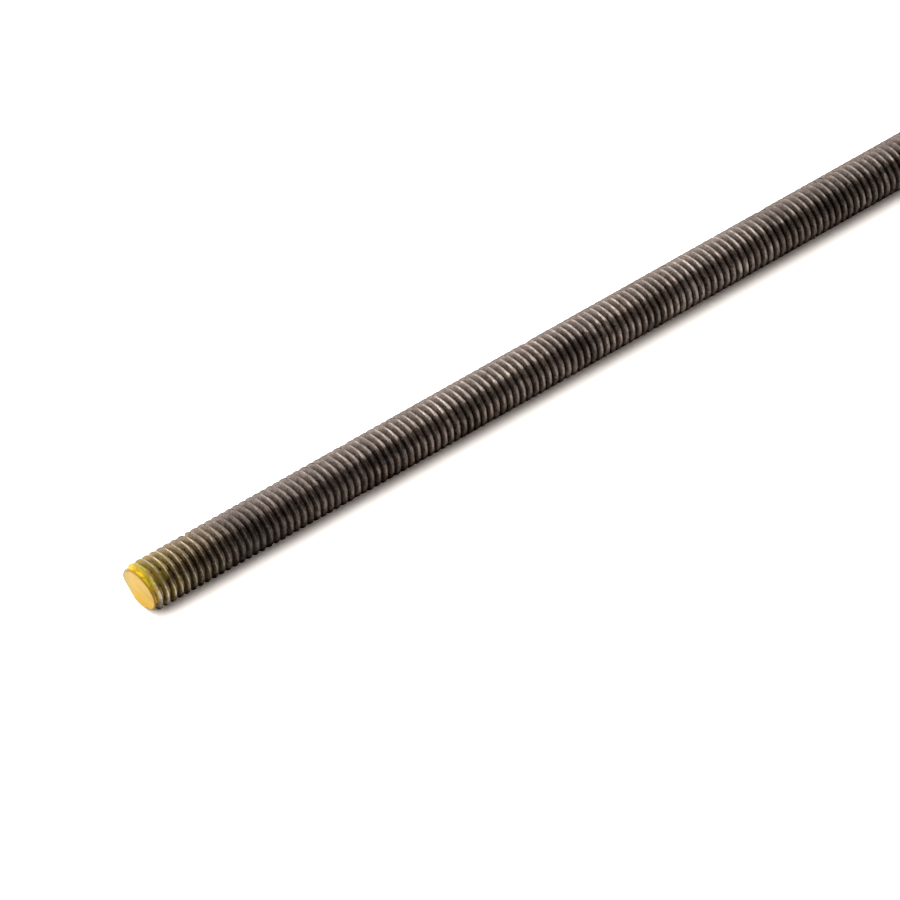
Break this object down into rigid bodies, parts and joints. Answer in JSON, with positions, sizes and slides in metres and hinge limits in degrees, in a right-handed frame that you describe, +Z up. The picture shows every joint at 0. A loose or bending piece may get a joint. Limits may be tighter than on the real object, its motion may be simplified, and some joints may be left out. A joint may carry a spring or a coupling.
{
  "type": "threaded rod",
  "caption": "Straight steel rod with a right-hand screw thread along its whole length and chamfered ends, one of them painted yellow; nuts run on it to clamp, hang or space things.",
  "frame": {"origin": "middle of the painted end face, on the rod's axis", "axes": "+X runs along the rod from the painted end to the bare end; +Z up; the rod is round, so Y and Z are alike"},
  "size_m": [1, 0.008, 0.008],
  "materials": {
    "steel": "plain rolled thread, darkened and lightly oiled, with yellow paint on the first end"
  },
  "bodies": {
    "root": {"threaded_rod": "steel"}
  },
  "joints": []
}
